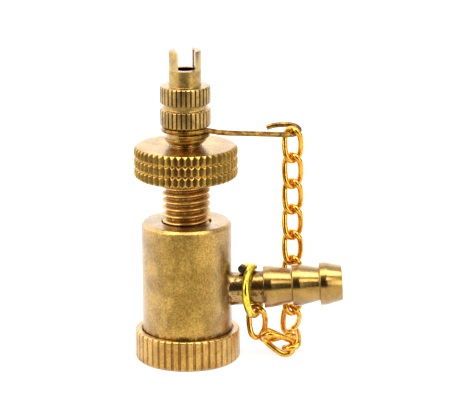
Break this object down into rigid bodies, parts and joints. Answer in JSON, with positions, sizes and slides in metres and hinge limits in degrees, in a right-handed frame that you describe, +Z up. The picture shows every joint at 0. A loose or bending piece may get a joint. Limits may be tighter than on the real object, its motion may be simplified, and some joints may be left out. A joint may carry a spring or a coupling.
{
  "type": "screw-down filling valve",
  "caption": "Turned brass screw-down valve with a union nut below, a side hose barb, a knurled handwheel and a tyre-type stem under a slotted dust cap held by a chain.",
  "frame": {"origin": "bottom centre of the object's box: on the plane that the union nut stands on, midway along the length from nut to barb end", "axes": "+Z up along the spindle, +X towards the hose barb's end, +Y to the back where the chain hangs"},
  "size_m": [0.0516, 0.026, 0.0779],
  "materials": {
    "aged_brass": "satin, fine turning marks, aged",
    "barb_brass": "satin, turned",
    "cap_brass": "satin",
    "core_brass": "bright",
    "leash_brass": "antiqued wire",
    "bright_ring": "bright lemon-yellow plating",
    "gold_chain": "bright gold plating",
    "spring_steel": "bright wire",
    "black_rubber": "matte",
    "red_seal": "matte"
  },
  "bodies": {
    "body": {"valve_body": "aged_brass", "gland_o_ring": "black_rubber", "coupling_gasket": "black_rubber", "hose_barb": "barb_brass", "nut_snap_ring": "spring_steel"},
    "union_nut": {"coupling_nut": "aged_brass"},
    "seat_disc": {"seat_disc": "black_rubber"},
    "spindle": {"spindle": "aged_brass", "handwheel": "aged_brass", "valve_core_body": "core_brass", "valve_core_gasket": "red_seal", "valve_core_spring": "spring_steel"},
    "core_pin": {"valve_core_pin": "core_brass", "valve_core_seal": "black_rubber"},
    "cap_seal": {"cap_seal": "red_seal"},
    "dust_cap": {"dust_cap": "cap_brass"},
    "leash": {"cap_leash": "leash_brass"},
    "neck_ring": {"neck_ring": "bright_ring"},
    "link_01": {"chain_link_01": "gold_chain"},
    "link_02": {"chain_link_02": "gold_chain"},
    "link_03": {"chain_link_03": "gold_chain"},
    "link_04": {"chain_link_04": "gold_chain"},
    "link_05": {"chain_link_05": "gold_chain"},
    "link_06": {"chain_link_06": "gold_chain"},
    "link_07": {"chain_link_07": "gold_chain"},
    "link_08": {"chain_link_08": "gold_chain"},
    "link_09": {"chain_link_09": "gold_chain"},
    "link_10": {"chain_link_10": "gold_chain"},
    "link_11": {"chain_link_11": "gold_chain"},
    "link_12": {"chain_link_12": "gold_chain"}
  },
  "joints": [
    {"name": "nut_swivel", "type": "hinge", "parent": "body", "child": "union_nut", "pos_m": [-0.01282, 0, 0.004], "axis": [0, 0, 1], "continuous": true},
    {"name": "spindle_rise", "type": "slide", "parent": "body", "child": "seat_disc", "axis": [0, 0, 1], "range_m": [-0.0035, 0.00175]},
    {"name": "spindle_turn", "type": "hinge", "parent": "seat_disc", "child": "spindle", "pos_m": [-0.01282, 0, 0.03], "axis": [0, 0, 1], "range_deg": [-720, 360]},
    {"name": "core_press", "type": "slide", "parent": "spindle", "child": "core_pin", "axis": [0, 0, -1], "range_m": [0, 0.001], "stiffness_N_per_m": 300, "springref_m": -0.001, "deforming": ["valve_core_spring"]},
    {"name": "cap_lift", "type": "slide", "parent": "seat_disc", "child": "cap_seal", "axis": [0, 0, 1], "range_m": [0, 0.009]},
    {"name": "cap_turn", "type": "hinge", "parent": "cap_seal", "child": "dust_cap", "pos_m": [-0.01282, 0, 0.06], "axis": [0, 0, 1], "range_deg": [0, 4081.6]},
    {"name": "leash_swivel", "type": "hinge", "parent": "cap_seal", "child": "leash", "pos_m": [-0.01282, 0, 0.0578], "axis": [0, 0, 1], "range_deg": [0, 40]},
    {"name": "link_01_swing", "type": "hinge", "parent": "leash", "child": "link_01", "pos_m": [0.01348, 0.0074, 0.05495], "axis": [0.9112, 0.4121, 0], "range_deg": [0, 15]},
    {"name": "link_02_swing", "type": "hinge", "parent": "link_01", "child": "link_02", "pos_m": [0.01348, 0.0074, 0.0483], "axis": [0.7071, 0.7071, 0], "range_deg": [0, 7]},
    {"name": "link_03_swing", "type": "hinge", "parent": "link_02", "child": "link_03", "pos_m": [0.01348, 0.0074, 0.0417], "axis": [0.7071, -0.7071, 0], "range_deg": [0, 7]},
    {"name": "link_04_swing", "type": "hinge", "parent": "link_03", "child": "link_04", "pos_m": [0.01348, 0.0074, 0.0351], "axis": [0.7071, 0.7071, 0], "range_deg": [0, 7]},
    {"name": "link_05_swing", "type": "hinge", "parent": "link_04", "child": "link_05", "pos_m": [0.01348, 0.0074, 0.0285], "axis": [0.7071, -0.7071, 0], "range_deg": [0, 7]},
    {"name": "link_06_swing", "type": "hinge", "parent": "link_05", "child": "link_06", "pos_m": [0.01348, 0.0074, 0.0219], "axis": [0.7071, 0.7071, 0], "range_deg": [0, 7]},
    {"name": "link_07_swing", "type": "hinge", "parent": "link_06", "child": "link_07", "pos_m": [0.01348, 0.0074, 0.0153], "axis": [0.7071, -0.7071, 0], "range_deg": [0, 7]},
    {"name": "link_08_swing", "type": "hinge", "parent": "link_07", "child": "link_08", "pos_m": [0.01358, 0.00741, 0.01035], "axis": [0.6893, -0.6402, -0.3391], "range_deg": [-15, 30]},
    {"name": "neck_ring_swing", "type": "hinge", "parent": "body", "child": "neck_ring", "pos_m": [0.00378, 0, 0.01697], "axis": [0.9986, 0, 0.0523], "range_deg": [0, 4]},
    {"name": "link_12_swing", "type": "hinge", "parent": "neck_ring", "child": "link_12", "pos_m": [0.0043, 0, 0.01097], "axis": [-0.33, -0.944, 0], "range_deg": [0, 8]},
    {"name": "link_11_swing", "type": "hinge", "parent": "link_12", "child": "link_11", "pos_m": [0.00609, -0.00097, 0.00561], "axis": [0.2629, -0.8498, 0.4569], "range_deg": [0, 8]},
    {"name": "link_10_swing", "type": "hinge", "parent": "link_11", "child": "link_10", "pos_m": [0.01258, -0.00204, 0.00252], "axis": [0.9609, -0.267, 0.074], "range_deg": [0, 5]},
    {"name": "link_09_swing", "type": "hinge", "parent": "link_10", "child": "link_09", "pos_m": [0.0137, 0.00427, 0.00316], "axis": [-0.079, 0.6488, -0.7568], "range_deg": [0, 46]}
  ],
  "couplings": [
    {"joint": "spindle_turn", "follows": "spindle_rise", "rad_per_m": 3590.4},
    {"joint": "cap_turn", "follows": "cap_lift", "rad_per_m": 7913.3},
    {"joint": "link_08_swing", "follows": "spindle_rise", "rad_per_m": -144.61},
    {"joint": "link_09_swing", "follows": "cap_lift", "rad_per_m": 87.266}
  ]
}
